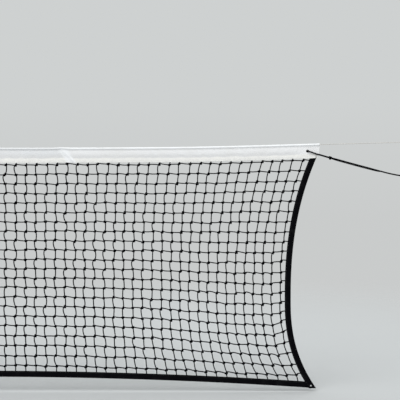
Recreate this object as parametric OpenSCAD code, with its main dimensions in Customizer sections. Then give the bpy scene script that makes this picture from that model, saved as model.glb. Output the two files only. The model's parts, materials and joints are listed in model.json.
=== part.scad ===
// Tennis net for a small court, hung from a taut headline. Millimetres.
// +X runs along the net, +Y away from the player in front of it, +Z up.
// The origin is midway between the two headline eyes, at their height.

/* [Headline] */
// Diameter of the headline, the cord that carries the net
headline_d = 3; // [2.5:0.5:3]
// Distance between the centres of the two headline eyes
eye_span = 3800; // [3600:50:4200]
// How far the middle of the headline hangs below its eyes
headline_sag = 32; // [24:1:36]
// Radius of the hole through each thimble
thimble_bore_r = 6.5; // [5:0.5:7]

/* [Headband] */
// Length of the headband
band_len = 3000; // [2600:50:3200]
// Depth of the headband, from its top edge to its lower edge
band_depth = 63; // [55:1:75]
// Thickness of the two sewn layers below the cord channel
band_thick = 3; // [2.5:0.5:3.5]

/* [Netting and tapes] */
// Height of the net at its corners, from the headband's top edge
net_height = 1070; // [900:10:1200]
// Thickness of the netting, one twine
twine_d = 3; // [2.5:0.5:3]
// Width of the folded side and bottom tapes
tape_w = 26; // [22:1:32]
// Thickness of a folded tape with the netting in its fold
tape_thick = 5; // [4.5:0.5:6]
// How far each side tape is drawn in at its waist
waist_inset = 111; // [60:1:130]
// Drop of that waist below the top of the tape
waist_drop = 620; // [450:10:700]
// How much higher the bottom edge is at mid-span than at the corners
bottom_arch = 50; // [20:5:70]

/* [Eyelets and ties] */
// Radius of the hole through each corner eyelet
eyelet_bore_r = 3.2; // [2.6:0.2:3.6]
// Outer radius of the eyelets and their washers
eyelet_r = 6.2; // [5.5:0.1:7]
// Diameter of the tie cords
tie_d = 4.7; // [4:0.1:5]
// Slope of the taut tie cords, in degrees below level
tie_slope = 15; // [8:0.2:20]

/* [Hidden] */

$fn = 48;
round_fn = 64;
loose = 0.05;
eps = 0.01;

// Headline: a parabola where it carries the headband, straight from there to each eye
eye_x = eye_span / 2;
band_end = band_len / 2;
sag_rate = headline_sag / (band_end ^ 2 + 2 * band_end * (eye_x - band_end));
band_steps = 24;

// Eye at each end of the headline
eye_turn_r = 10;
eye_half_arc = 109;
eye_arc_steps = 12;
strand_gap = 1.6;
thimble_w = 6;
thimble_neck = 14;
groove_r = 1.75;
leg_groove_r = 1.9;
flange_out = 1.4;
ferrule_in = 26;
ferrule_len = 22;
ferrule_wall = 1.5;
ferrule_hole_r = 1.65;
headline_sides = 8;

// Headband: a round cord channel above a flat sewn web
channel_r = 5;
channel_cloth = 0.8;
channel_low = 10;
channel_open_low = 8.2;
channel_from = -40;
channel_turn = 260;
channel_arc_steps = 10;
thread_w = 0.8;
thread_h = 0.4;
hem_thread_up = 5;

// Netting and tapes
seam_gap = 2;
corner_in = 18;
curve_power = 2.4;
side_steps = 24;
edge_steps = 24;
tape_cloth = 1.2;
tape_tail = 15;
tape_thread_in = 21;
corner_x = band_end - corner_in;
tape_top = band_low(corner_x - tape_w) - seam_gap;
corner_z = band_top(band_end) - net_height;
corner_drop = tape_top - corner_z;

// Eyelets: a flanged barrel through the cloth, rolled over a washer
flange_t = 0.8;
roll_t = 0.6;
roll_r = 4.7;
barrel_wall = 0.6;
barrel_r = eyelet_bore_r + barrel_wall;
upper_eyelet = [band_end - 56, -40];
eyelet_up = 18;
lower_eyelet = side_point(corner_drop - eyelet_up, tape_w / 2);

// Tie cords: points [along, across, up] from the upper eyelet, along the taut cord, which sags a little
tie_sides = 10;
tie_route = [
  [330, -4.4, -4.8], [308, -3.2, -5.8], [280, -1.2, -6.3], [250, 0, -6.5], [215, 0, -6.6],
  [180, 0, -6.4], [152, 0, -6.1], [131, -0.6, -5.8], [117, -1.6, -5], [103, -2.5, -4.2],
  [87, -3.7, -3.6], [64, -5.2, -3.1], [42, -6.5, -2.4], [24, -7.4, -1.3], [14, -7.6, -0.6],
  [7, -7.2, -0.2], [2.2, -5.6, 0], [0, -3.3, 0],
  [0, 3.3, 0], [2.2, 5.6, 0], [7, 7.2, -0.1], [14, 7.6, -0.2], [24, 7.4, -0.3], [42, 6.5, -0.5],
  [64, 5.2, -1], [87, 3.7, -1.6], [103, 2.5, -1.6], [117, 1.6, -1.1], [131, 0.6, -0.9],
  [152, 0, -1.1], [180, 0, -1.4], [215, 0, -1.5], [250, 0, -1.4], [285, 0, -1.4],
  [320, 0, -2.1], [355, 0, -2.3], [390, 0, -1], [412, 0, 0.8], [426, 0, 2.4], [438, 0, 3],
  [449, 0, 7], [459, 0, 11], [470, 0, 12], [479, 0, 8], [483, 0, 0], [479, 0, -8],
  [470, 0, -12], [459, 0, -11], [449, 0, -7], [438, 0, -3], [426, 0, -2.5]];

function unit(v) = v / norm(v);
function headline_z(x) =
  abs(x) <= band_end ? sag_rate * x ^ 2 - headline_sag
  : -2 * sag_rate * band_end * (eye_x - abs(x));
function band_top(x) = headline_z(x) + channel_r;
function band_low(x) = band_top(x) - band_depth;
function band_x(i) = -band_end + i * band_len / band_steps;

// How far a side tape's outer edge stands in at a drop s below the tape's top
function inset(s) =
  let (t = s < waist_drop ? 1 - s / waist_drop : (s - waist_drop) / (corner_drop - waist_drop))
  waist_inset * (1 - t ^ curve_power);
function inset_rate(s) = (inset(s + 1) - inset(s - 1)) / 2;
// Point on a side tape, inwards from its outer edge and square to it
function side_point(s, inwards) =
  let (across = unit([-1, inset_rate(s)]))
  [corner_x - inset(s), tape_top - s] + inwards * across;
function bottom_z(x) = corner_z + bottom_arch * (1 - (x / corner_x) ^ 2);

// Rings of a round tube along a path, turned as little as possible from one to the next
function tangent(path, i) =
  unit(path[min(i + 1, len(path) - 1)] - path[max(i - 1, 0)]);
function square_to(v, t) = unit(v - (v * t) * t);
function ring_sides(path, first) = [
  for (i = 0, n = square_to(first, tangent(path, 0));
       i < len(path);
       i = i + 1, n = square_to(n, tangent(path, min(i, len(path) - 1))))
    n];

module tube(path, d, sides, first) {
  n = ring_sides(path, first);
  rings = [
    for (i = [0:len(path) - 1])
      let (b = cross(tangent(path, i), n[i]))
      for (k = [0:sides - 1])
        path[i] + d / 2 * (cos(360 * k / sides) * n[i] + sin(360 * k / sides) * b)];
  swept(rings, len(path), sides);
}

// Closed solid through equal rings of points, given one after another
module swept(points, rings, sides) {
  last = (rings - 1) * sides;
  walls = [
    for (i = [0:rings - 2], k = [0:sides - 1], half = [0, 1])
      let (a = i * sides + k, b = i * sides + (k + 1) % sides)
      half == 0 ? [a, b + sides, b] : [a, a + sides, b + sides]];
  ends = [[for (k = [0:sides - 1]) k], [for (k = [sides - 1:-1:0]) last + k]];
  polyhedron(points, concat(walls, ends));
}

// Carries a right-hand piece over to the left
module left() {
  mirror([1, 0, 0]) children();
}

// Stands a flat outline up in the plane of the net, with its thickness across it
module upright(thick) {
  rotate([90, 0, 0]) linear_extrude(thick, center = true) children();
}

eye_loop = [
  for (i = [0:eye_arc_steps])
    let (a = -eye_half_arc + 2 * eye_half_arc * i / eye_arc_steps)
    [eye_x + eye_turn_r * cos(a), 0, eye_turn_r * sin(a)]];
right_end = concat(
  [[eye_x - ferrule_in - ferrule_len, 0, -strand_gap], [eye_x - ferrule_in, 0, -strand_gap]],
  eye_loop,
  [[eye_x - ferrule_in, 0, strand_gap], [eye_x - ferrule_in - ferrule_len, 0, strand_gap]]);
left_end = [for (i = [len(right_end) - 1:-1:0]) [-right_end[i].x, 0, right_end[i].z]];
carried = [for (i = [0:band_steps]) [band_x(i), 0, headline_z(band_x(i))]];

module headline() {
  color("tan") tube(concat(left_end, carried, right_end), headline_d, headline_sides, [0, 1, 0]);
}

module ferrule() {
  color("silver") translate([eye_x - ferrule_in - ferrule_len, 0, 0])
    rotate([90, 0, 90]) linear_extrude(ferrule_len) difference() {
      two_strands(ferrule_hole_r + ferrule_wall);
      two_strands(ferrule_hole_r);
    }
}

// Outline round the two strands that lie one above the other
module two_strands(r) {
  translate([0, strand_gap]) circle(r);
  translate([0, -strand_gap]) circle(r);
  square([2 * r, 2 * strand_gap], center = true);
}

// Where the cord's straight legs meet its turn round the thimble, and their slope there
leg_turn = eye_turn_r * [cos(eye_half_arc), sin(eye_half_arc)];
leg_slope = atan2(leg_turn.y - strand_gap, ferrule_in + leg_turn.x);

module thimble() {
  rim = leg_turn * (eye_turn_r + flange_out - 0.2) / eye_turn_r;
  neck = [-thimble_neck, rim.y - (thimble_neck + rim.x) * tan(leg_slope)];
  color("silver") translate([eye_x, 0, 0]) difference() {
    union() {
      upright(thimble_w) circle(eye_turn_r + flange_out, $fn = round_fn);
      upright(thimble_w) polygon([neck, rim, [rim.x, -rim.y], [neck.x, -neck.y]]);
    }
    rotate([90, 0, 0]) cylinder(thimble_w + 2, r = thimble_bore_r, center = true, $fn = round_fn);
    rotate([90, 0, 0]) rotate_extrude($fn = round_fn) translate([eye_turn_r, 0]) circle(groove_r);
    for (up = [-1, 1])
      translate([-ferrule_in, 0, up * strand_gap]) rotate([0, 90 - up * leg_slope, 0])
        cylinder(ferrule_in, r = leg_groove_r);
  }
}

// Section of the headband about the headline, [across, up], and of its cord channel
function channel_arc(r) = [
  for (i = [0:channel_arc_steps])
    let (a = channel_from + channel_turn * i / channel_arc_steps) r * [cos(a), sin(a)]];
band_section = concat(channel_arc(channel_r), [
  [-band_thick / 2, -channel_low], [-band_thick / 2, channel_r - band_depth],
  [band_thick / 2, channel_r - band_depth], [band_thick / 2, -channel_low]]);
channel_section = concat(channel_arc(channel_r - channel_cloth), [[0, -channel_open_low]]);

module along_band(section, past) {
  swept([
    for (i = [0:band_steps], p = section)
      let (x = band_x(i), out = i == 0 ? -past : i == band_steps ? past : 0)
      [x + out, p[0], headline_z(x) + p[1]]],
    band_steps + 1, len(section));
}

module headband() {
  color("white") difference() {
    along_band(band_section, 0);
    along_band(channel_section, 1);
    at_upper_eyelets() eyelet_hole(band_thick);
  }
}

module at_upper_eyelets() {
  for (side = [-1, 1]) translate([side * upper_eyelet.x, 0, upper_eyelet.y]) children();
}

// Rows of thread on both faces of the headband, at a height above its lower edge
module band_thread(up) {
  color("lightgray") for (face = [-1, 1])
    translate([0, face * (band_thick + thread_h) / 2, 0]) upright(thread_h)
      polygon(concat(
        [for (i = [0:band_steps]) [band_x(i), band_low(band_x(i)) + up]],
        [for (i = [band_steps:-1:0]) [band_x(i), band_low(band_x(i)) + up + thread_w]]));
}

module channel_stitching() {
  band_thread(band_depth - channel_r - channel_low - thread_w - 0.4);
}

module hem_stitching() {
  band_thread(hem_thread_up);
}

// Outline between two distances in from the outer edge of the right side tape
module side_strip(from, to) {
  intersection() {
    polygon(concat(
      [for (i = [0:side_steps]) side_point(side_s(i), from)],
      [for (i = [side_steps:-1:0]) side_point(side_s(i), to)]));
    translate([0, corner_z]) square([2 * band_end, corner_drop]);
  }
}
function side_s(i) = -tape_tail + i * (corner_drop + 2 * tape_tail) / side_steps;

// Outline between two heights above the bottom edge, from side tape to side tape
module bottom_strip(from, to) {
  difference() {
    polygon(concat(
      [for (i = [0:edge_steps]) let (x = edge_x(i)) [x, bottom_z(x) + from]],
      [for (i = [edge_steps:-1:0]) let (x = edge_x(i)) [x, bottom_z(x) + to]]));
    side_strip(-tape_w, tape_w);
    left() side_strip(-tape_w, tape_w);
  }
}
function edge_x(i) = (2 * i / edge_steps - 1) * (corner_x - eps);

// Outline of the netting, which reaches into the folds of the three tapes
module net_outline() {
  right_edge = [
    for (i = [0:side_steps])
      let (s = 4 + i * (corner_drop - 4 - tape_cloth - 2) / side_steps)
      side_point(s, tape_cloth)];
  top_x = corner_x - tape_w - 4;
  polygon(concat(
    [for (i = [0:edge_steps]) let (x = top_x * (2 * i / edge_steps - 1)) [x, band_low(x) - seam_gap]],
    right_edge,
    [for (i = [edge_steps - 1:-1:1]) let (x = edge_x(i)) [x, bottom_z(x) + tape_cloth]],
    [for (i = [side_steps:-1:0]) [-right_edge[i].x, right_edge[i].y]]));
}

module netting() {
  color("black") difference() {
    upright(twine_d) net_outline();
    at_lower_eyelets() eyelet_hole(tape_thick);
  }
}

module at_lower_eyelets() {
  for (side = [-1, 1]) translate([side * lower_eyelet.x, 0, lower_eyelet.y]) children();
}

// Folded tape: its outline, less the slot that holds the netting's edge
module folded_tape() {
  color("dimgray") difference() {
    upright(tape_thick) children();
    upright(twine_d + 2 * loose) net_outline();
    at_lower_eyelets() eyelet_hole(tape_thick);
  }
}

module side_tape() {
  folded_tape() side_strip(0, tape_w);
}

module bottom_tape() {
  folded_tape() bottom_strip(0, tape_w);
}

module tape_thread() {
  color("black") for (face = [-1, 1])
    translate([0, face * (tape_thick + thread_h) / 2, 0]) upright(thread_h) children();
}

module side_tape_stitching() {
  tape_thread() side_strip(tape_thread_in, tape_thread_in + thread_w);
}

module bottom_tape_stitching() {
  tape_thread() bottom_strip(tape_thread_in, tape_thread_in + thread_w);
}

module across(from, length, r) {
  translate([0, from, 0]) rotate([-90, 0, 0]) cylinder(length, r = r, $fn = round_fn);
}

module eyelet_hole(thick) {
  across(-thick / 2 - 1, thick + 2, barrel_r + loose);
}

module eyelet(thick) {
  color("dimgray") difference() {
    union() {
      across(-thick / 2 - flange_t, flange_t, eyelet_r);
      across(-thick / 2 - flange_t, thick + 2 * flange_t + roll_t, barrel_r);
      across(thick / 2 + flange_t, roll_t, roll_r);
    }
    across(-thick, 3 * thick, eyelet_bore_r);
  }
}

module washer(thick) {
  color("dimgray") difference() {
    across(thick / 2, flange_t, eyelet_r);
    across(0, thick, barrel_r + loose);
  }
}

module upper_eyelet() {
  translate([upper_eyelet.x, 0, upper_eyelet.y]) eyelet(band_thick);
}

module upper_washer() {
  translate([upper_eyelet.x, 0, upper_eyelet.y]) washer(band_thick);
}

module lower_eyelet() {
  translate([lower_eyelet.x, 0, lower_eyelet.y]) eyelet(tape_thick);
}

module lower_washer() {
  translate([lower_eyelet.x, 0, lower_eyelet.y]) washer(tape_thick);
}

module tie() {
  color("black") translate([upper_eyelet.x, 0, upper_eyelet.y]) rotate([0, tie_slope, 0])
    tube(tie_route, tie_d, tie_sides, [0, 1, 0]);
}

headline();
left() ferrule();  // left_ferrule
ferrule();  // right_ferrule
left() thimble();  // left_thimble
thimble();  // right_thimble
headband();
channel_stitching();
hem_stitching();
left() upper_eyelet();  // upper_left_eyelet
upper_eyelet();  // upper_right_eyelet
left() upper_washer();  // upper_left_washer
upper_washer();  // upper_right_washer
netting();
left() side_tape();  // left_side_tape
side_tape();  // right_side_tape
bottom_tape();
left() side_tape_stitching();  // left_tape_stitching
side_tape_stitching();  // right_tape_stitching
bottom_tape_stitching();
left() lower_eyelet();  // lower_left_eyelet
lower_eyelet();  // lower_right_eyelet
left() lower_washer();  // lower_left_washer
lower_washer();  // lower_right_washer
left() tie();  // left_tie
tie();  // right_tie
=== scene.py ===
import json
import math

import bpy
import numpy as np
from mathutils.kdtree import KDTree
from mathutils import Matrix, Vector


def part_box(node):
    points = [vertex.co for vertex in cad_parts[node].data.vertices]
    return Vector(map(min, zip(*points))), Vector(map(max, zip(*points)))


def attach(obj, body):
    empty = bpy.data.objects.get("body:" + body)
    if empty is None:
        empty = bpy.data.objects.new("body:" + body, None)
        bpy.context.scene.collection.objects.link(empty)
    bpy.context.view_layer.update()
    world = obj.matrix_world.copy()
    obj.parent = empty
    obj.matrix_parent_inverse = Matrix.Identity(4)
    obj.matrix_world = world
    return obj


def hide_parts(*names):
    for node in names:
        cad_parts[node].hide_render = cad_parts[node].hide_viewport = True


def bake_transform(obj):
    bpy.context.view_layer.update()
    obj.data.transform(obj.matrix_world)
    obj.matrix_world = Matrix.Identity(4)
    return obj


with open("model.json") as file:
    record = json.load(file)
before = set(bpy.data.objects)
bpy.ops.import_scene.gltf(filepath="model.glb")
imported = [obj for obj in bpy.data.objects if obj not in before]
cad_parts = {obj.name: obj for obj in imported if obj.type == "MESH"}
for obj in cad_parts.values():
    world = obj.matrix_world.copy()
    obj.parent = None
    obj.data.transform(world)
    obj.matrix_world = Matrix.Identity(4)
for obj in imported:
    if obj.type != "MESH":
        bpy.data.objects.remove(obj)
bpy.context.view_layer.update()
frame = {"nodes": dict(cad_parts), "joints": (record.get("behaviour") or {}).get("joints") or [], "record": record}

# Small-court tennis net. Metres: +X along the net, +Y away from the viewer, +Z up.
MM = 0.001
mounts = {m["name"]: m["pos_m"] for m in frame["record"]["mounts"]}
joints = {j["name"]: j for j in frame["joints"]}
chance = np.random.default_rng(11)

# Headline and headband
HEADLINE_D = 3 * MM
HEADLINE_SAG = 32 * MM
EYE_X = mounts["right_headline_eye"][0]
BAND_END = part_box("headband")[1].x
SAG_RATE = HEADLINE_SAG / (BAND_END**2 + 2 * BAND_END * (EYE_X - BAND_END))
CHANNEL_R = 5 * MM
CLOTH = 0.8 * MM
WEB_TOP = 6.5 * MM
WEB_HALF = 1.5 * MM
BAND_DEPTH = 63 * MM
HEM_HANG = 2.8 * MM
SEAM_SAG = 2.2 * MM
FOLD_X = 0.372
FLAT_FROM = 1.40
FLAT_OVER = 26 * MM
SLANT_FROM = 1.45
GRIP_FROM, GRIP_TO = 1.452, 1.486
THREAD_R = 0.4 * MM

# Netting and tapes
PITCH = 45.33 * MM
COLUMNS = 64
ROWS = 22
TWINE_R = 2.6 * MM
FIRST_ROW_DROP = 9.5 * MM
TAPE_W = 26 * MM
TAPE_HALF = 2.5 * MM
TAPE_CLOTH = 1.2 * MM
TAPE_SEAM = 21.4 * MM
TAPE_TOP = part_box("right_side_tape")[1].z
CORNER_X = BAND_END - 18 * MM
CORNER_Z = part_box("right_side_tape")[0].z
CORNER_DROP = TAPE_TOP - CORNER_Z
WAIST_INSET = 111 * MM
WAIST_DROP = 620 * MM
BOTTOM_ARCH = 50 * MM

# Eyelets and ties
UPPER_EYELET = joints["right_tie_swing"]["pos_m"]
LOWER_EYELET = mounts["lower_right_corner"]
TIE_SLOPE = math.radians(15)

# The picture plane is the net's own: what the camera sees of it, and where the floor lies
VIEW_WIDTH = 1.748
VIEW_CENTRE = (0.9745, -0.2537)
FLOOR_Z = -1.09


def headline_z(x):
    """Height of the taut headline's centre, carried in the band and straight beyond it."""
    x = np.abs(x)
    carried = SAG_RATE * x**2 - HEADLINE_SAG
    return np.where(x <= BAND_END, carried, -2 * SAG_RATE * BAND_END * (EYE_X - x))


def hump(x, centre, width):
    """1 at the centre, falling away to both sides."""
    return np.exp(-(((x - centre) / width) ** 2))


def hang(x):
    """Height of the headline inside the band, with the slight unevenness of a used net."""
    worn = 1.5 * MM * hump(x, 0, 0.45) - 2.2 * MM * hump(np.abs(x), 1.0, 0.35)
    return headline_z(x) + worn + 1.8 * MM * hump(x, FOLD_X - 1 * MM, 0.03)


def seam_drop(x):
    """How far the cord channel's seam lies below the headline: a little more towards the ends."""
    return WEB_TOP + SEAM_SAG * hump(np.abs(x), 1.2, 0.3)


def held_flat(x):
    """1 near the band's ends, where the eyelet and the side tape keep the cloth flat, else 0."""
    near_end = np.clip((np.abs(x) - FLAT_FROM) / FLAT_OVER, 0, 1)
    return near_end**2 * (3 - 2 * near_end)


def band_low(x):
    """Lower edge of the headband: the soft hem hangs a little low, and less so at its ends."""
    rise = np.clip((np.abs(x) - 0.9) / 0.6, 0, 1)
    return hang(x) + CHANNEL_R - BAND_DEPTH - HEM_HANG + 2.5 * MM * rise**2


def inset(s):
    """How far the side's outer edge stands in, at a drop s below the tape's top."""
    t = np.where(s < WAIST_DROP, 1 - s / WAIST_DROP, (s - WAIST_DROP) / (CORNER_DROP - WAIST_DROP))
    return WAIST_INSET * (1 - t**2.4)


def side_point(s, inwards):
    """(x, z) on the right side, inwards from its outer edge and square to it."""
    rate = (inset(s + MM) - inset(s - MM)) / (2 * MM)
    size = np.sqrt(1 + rate**2)
    return CORNER_X - inset(s) - inwards / size, TAPE_TOP - s + inwards * rate / size


def bottom_z(x):
    """Lower edge of the bottom tape, drawn down towards its corners."""
    return CORNER_Z + BOTTOM_ARCH * (1 - (x / CORNER_X) ** 2)


# ---------------------------------------------------------------- mesh tools


def unit(v):
    return v / np.linalg.norm(v, axis=-1, keepdims=True)


def xyz(x, y, z):
    return np.stack(np.broadcast_arrays(x, y, z), axis=-1).astype(float)


def grid_faces(rows, columns, wrap_rows=False):
    """Quads over a grid of points, closed across, facing along (down the rows) x (across)."""
    r, c = np.meshgrid(np.arange(rows - (not wrap_rows)), np.arange(columns), indexing="ij")
    below, beside = (r + 1) % rows, (c + 1) % columns
    quads = [r * columns + c, below * columns + c, below * columns + beside, r * columns + beside]
    return np.stack(quads, axis=-1).reshape(-1, 4)


def repeated(faces, count, size):
    """The faces of count copies of a shape with size points."""
    return (faces[None] + (np.arange(count) * size)[:, None, None]).reshape(-1, faces.shape[1])


def smoothed(path, steps):
    """A smooth curve through the points, with that many steps between each two."""
    path = np.asarray(path, float)
    at = np.concatenate([[0], np.cumsum(np.linalg.norm(np.diff(path, axis=0), axis=1))])
    slope = np.gradient(path, at, axis=0)
    t = np.linspace(0, 1, steps, endpoint=False)[:, None]
    pieces = []
    for i in range(len(path) - 1):
        h = at[i + 1] - at[i]
        start = (2 * t**3 - 3 * t**2 + 1) * path[i] + (t**3 - 2 * t**2 + t) * h * slope[i]
        end = (3 * t**2 - 2 * t**3) * path[i + 1] + (t**3 - t**2) * h * slope[i + 1]
        pieces.append(start + end)
    return np.concatenate([*pieces, path[-1:]])


def length_of(path):
    return float(np.linalg.norm(np.diff(path, axis=0), axis=1).sum())


def tubes(paths, radius, sides):
    """Round tubes along paths of one length, (tube, point, xyz), with closed ends.

    Gives points, faces and lay: the cosine and sine of the way round, and the distance along.
    """
    paths = np.asarray(paths, float)
    count, rings = paths.shape[:2]
    tangents = unit(np.gradient(paths, axis=1))
    normals = np.empty_like(paths)
    normal = np.broadcast_to([0.0, -1.0, 0.0], (count, 3))
    for i in range(rings):
        along = np.sum(normal * tangents[:, i], axis=1, keepdims=True)
        normal = unit(normal - along * tangents[:, i])
        normals[:, i] = normal
    sideways = np.cross(normals, tangents)
    turn = np.linspace(0, 2 * np.pi, sides, endpoint=False)[:, None]
    out = np.cos(turn) * normals[:, :, None] + np.sin(turn) * sideways[:, :, None]
    points = paths[:, :, None] + np.broadcast_to(radius, (count, rings))[..., None, None] * out
    run = np.linalg.norm(np.diff(paths, axis=1), axis=2).cumsum(axis=1)
    run = np.concatenate([np.zeros((count, 1)), run], axis=1)[:, :, None]
    lay = xyz(np.cos(turn[:, 0]), np.sin(turn[:, 0]), run)
    faces = repeated(grid_faces(rings, sides), count, rings * sides).tolist()
    for i in range(count):
        base = i * rings * sides
        faces.append([base + k for k in range(sides)])
        faces.append([base + rings * sides - 1 - k for k in range(sides)])
    return points.reshape(-1, 3), faces, lay.reshape(-1, 3)


def strip(middle, thickness, run, lap):
    """Cloth of one thickness about a middle surface, (station, point, xyz), with closed edges.

    Gives points, faces and cloth: the distances along and across the cloth.
    """
    stations, n = middle.shape[:2]
    across = np.gradient(middle, axis=1)
    out = unit(np.cross(np.gradient(middle, axis=0), across)) * thickness / 2
    tip = unit(across) * thickness * 0.3
    loop = [middle + out, (middle + tip)[:, -1:], (middle - out)[:, ::-1], (middle - tip)[:, :1]]
    points = np.concatenate(loop, axis=1)
    lap = np.broadcast_to(lap, (stations, n))
    laps = np.concatenate([lap, lap[:, -1:], lap[:, ::-1], lap[:, :1]], axis=1)
    cloth = xyz(np.reshape(run, (-1, 1)), laps, 0)
    columns = 2 * n + 2
    faces = grid_faces(stations, columns).tolist()
    last = (stations - 1) * columns
    for i in range(n - 1):
        end = [i, i + 1, 2 * n - i - 1, 2 * n - i]
        faces.append(end)
        faces.append([last + k for k in end[::-1]])
    for corner in ([n - 1, n, n + 1], [2 * n, 2 * n + 1, 0]):
        faces.append(corner)
        faces.append([last + k for k in corner[::-1]])
    return points.reshape(-1, 3), faces, cloth.reshape(-1, 3)


def lathe(profile, centre, turns=48):
    """A ring about a line along Y through centre, from a closed clockwise profile of (radius, y)."""
    profile = np.asarray(profile, float)
    angle = np.linspace(0, 2 * np.pi, turns, endpoint=False)[:, None]
    r, y = profile[:, 0], profile[:, 1]
    points = xyz(r * np.cos(angle), y, r * np.sin(angle)) + np.asarray(centre, float)
    return points.reshape(-1, 3), grid_faces(turns, len(profile), wrap_rows=True)


def mirrored(points, faces):
    """The same shape on the left."""
    return points * [-1, 1, 1], [list(f)[::-1] for f in faces]


def on_side(side, points, faces):
    return (points, faces) if side > 0 else mirrored(points, faces)


def build(name, points, faces, finish, slot, **fields):
    """A smooth mesh object in the row frame, with a vector kept at each point for its material."""
    mesh = bpy.data.meshes.new(name)
    mesh.from_pydata(np.asarray(points).tolist(), [], [list(f) for f in faces])
    for field, values in fields.items():
        layer = mesh.attributes.new(field, "FLOAT_VECTOR", "POINT")
        layer.data.foreach_set("vector", np.asarray(values, np.float32).ravel())
    mesh.shade_smooth()
    mesh.set_sharp_from_angle(angle=math.radians(50))
    mesh.materials.append(finish)
    piece = bpy.data.objects.new(name, mesh)
    bpy.context.scene.collection.objects.link(piece)
    return piece


# ---------------------------------------------------------------- materials


class Finish:
    """A material being built: its shader, and short ways to add nodes."""

    def __init__(self, name, colour, roughness, **sockets):
        self.material = bpy.data.materials.new(name)
        self.material.use_nodes = True
        self.tree = self.material.node_tree
        self.shader = self.tree.nodes["Principled BSDF"]
        self.material.diffuse_color = (*colour, 1)
        self.shader.inputs["Base Color"].default_value = (*colour, 1)
        self.shader.inputs["Roughness"].default_value = roughness
        for socket, value in sockets.items():
            self.shader.inputs[socket.replace("_", " ")].default_value = value

    def put(self, socket, value):
        if isinstance(value, bpy.types.NodeSocket):
            self.tree.links.new(value, socket)
        else:
            socket.default_value = value

    def math(self, operation, a, b=0.0):
        node = self.tree.nodes.new("ShaderNodeMath")
        node.operation = operation
        self.put(node.inputs[0], a)
        self.put(node.inputs[1], b)
        return node.outputs[0]

    def field(self, name):
        """The three numbers kept at each point."""
        node = self.tree.nodes.new("ShaderNodeAttribute")
        node.attribute_name = name
        parts = self.tree.nodes.new("ShaderNodeSeparateXYZ")
        self.tree.links.new(node.outputs["Vector"], parts.inputs[0])
        return parts.outputs[0], parts.outputs[1], parts.outputs[2]

    def place(self):
        node = self.tree.nodes.new("ShaderNodeTexCoord")
        return node.outputs["Object"]

    def noise(self, scale, detail):
        node = self.tree.nodes.new("ShaderNodeTexNoise")
        node.inputs["Scale"].default_value = scale
        node.inputs["Detail"].default_value = detail
        self.tree.links.new(self.place(), node.inputs["Vector"])
        return node.outputs[0]

    def ranged(self, value, low, high, to_low=0.0, to_high=1.0):
        """value, from low to high, as a number from to_low to to_high."""
        node = self.tree.nodes.new("ShaderNodeMapRange")
        node.interpolation_type = "SMOOTHSTEP"
        for socket, v in zip(node.inputs, (value, low, high, to_low, to_high)):
            self.put(socket, v)
        return node.outputs[0]

    def blended(self, share, a, b):
        """Colour a, going over to b as share goes from 0 to 1."""
        node = self.tree.nodes.new("ShaderNodeMix")
        node.data_type = "RGBA"
        self.put(node.inputs[0], share)
        self.put(node.inputs[6], a if isinstance(a, bpy.types.NodeSocket) else (*a, 1))
        self.put(node.inputs[7], b if isinstance(b, bpy.types.NodeSocket) else (*b, 1))
        return node.outputs[2]

    def wave(self, value, period):
        return self.math("SINE", self.math("MULTIPLY", value, 2 * math.pi / period))

    def set(self, socket, value):
        self.put(self.shader.inputs[socket], value)

    def bump(self, height, distance, strength):
        node = self.tree.nodes.new("ShaderNodeBump")
        node.inputs["Strength"].default_value = strength
        node.inputs["Distance"].default_value = distance
        self.tree.links.new(height, node.inputs["Height"])
        self.tree.links.new(node.outputs[0], self.shader.inputs["Normal"])


def painted_fold_highlight(f, run, off_top):
    """1 on the face of the old fold, which runs down and outwards across both flaps, else 0: the mask of a painted
    highlight for the light that face catches.
    """
    middle = f.math("ADD", f.math("MULTIPLY", off_top, 0.7), FOLD_X - 7 * MM)
    return f.ranged(f.math("ABSOLUTE", f.math("SUBTRACT", run, middle)), 0.025, 0.014)


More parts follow.
